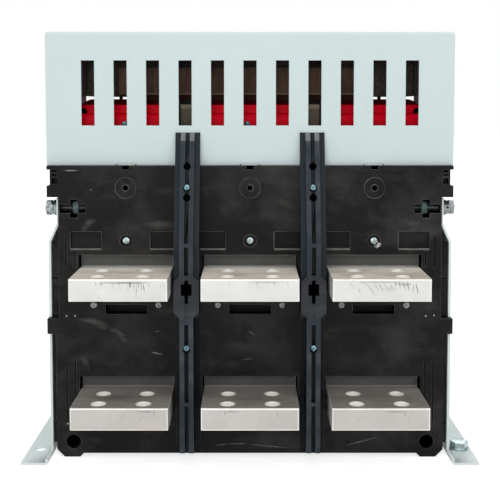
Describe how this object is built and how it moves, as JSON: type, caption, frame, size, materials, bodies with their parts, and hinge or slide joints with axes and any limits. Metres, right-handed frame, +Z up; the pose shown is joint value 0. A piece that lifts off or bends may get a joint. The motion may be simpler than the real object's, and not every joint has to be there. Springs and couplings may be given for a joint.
{
  "type": "low-voltage air circuit breaker",
  "caption": "Fixed air circuit breaker seen at its terminal side: black moulded housing, flat terminal bars, vented sheet hood over the arc chutes, side plates with feet.",
  "frame": {"origin": "on the floor plane of the feet, under the middle of the object", "axes": "-Y towards the terminal side, +X to the right seen from the terminal side, +Z up"},
  "size_m": [0.422, 0.323, 0.398],
  "materials": {
    "black_moulding": "black glass-filled polyester moulding, fine grain",
    "blue_black_moulding": "blue-black moulding, satin",
    "pale_painted_sheet": "pale grey-green powder coat",
    "pale_painted_plate": "pale grey-green powder coat with scuffs",
    "plated_copper": "silver-plated copper, scratched",
    "red_moulding": "red glossy moulding",
    "zinc_steel": "zinc-plated splitter plates",
    "brown_board": "brown-grey fibre board",
    "grey_moulding": "grey terminal moulding",
    "light_grey_moulding": "light grey moulded fascia, fine grain",
    "dark_grey_moulding": "dark grey moulded panel",
    "green_button": "green push button",
    "red_button": "red push button",
    "window_lens": "cream indicator behind a clear lens",
    "black_handle": "black moulded lever"
  },
  "bodies": {
    "root": {"arc_chute_left": "red_moulding", "arc_chute_middle": "red_moulding", "arc_chute_right": "red_moulding", "arc_grid_left": "zinc_steel", "arc_grid_middle": "zinc_steel", "arc_grid_right": "zinc_steel", "barrier_rail_left": "blue_black_moulding", "barrier_rail_right": "blue_black_moulding", "charge_window": "window_lens", "charging_handle": "black_handle", "front_fascia": "light_grey_moulding", "front_housing": "black_moulding", "insulating_board": "brown_board", "lower_terminal_left": "plated_copper", "lower_terminal_middle": "plated_copper", "lower_terminal_right": "plated_copper", "off_button": "red_button", "on_button": "green_button", "operating_panel": "dark_grey_moulding", "phase_barrier_left": "brown_board", "phase_barrier_right": "brown_board", "rear_housing": "black_moulding", "secondary_block_left": "grey_moulding", "secondary_block_middle": "grey_moulding", "secondary_block_right": "grey_moulding", "side_plate_left": "pale_painted_plate", "side_plate_right": "pale_painted_plate", "state_window": "window_lens", "trip_unit": "dark_grey_moulding", "upper_terminal_left": "plated_copper", "upper_terminal_middle": "plated_copper", "upper_terminal_right": "plated_copper", "vented_cover": "pale_painted_sheet"}
  },
  "joints": []
}
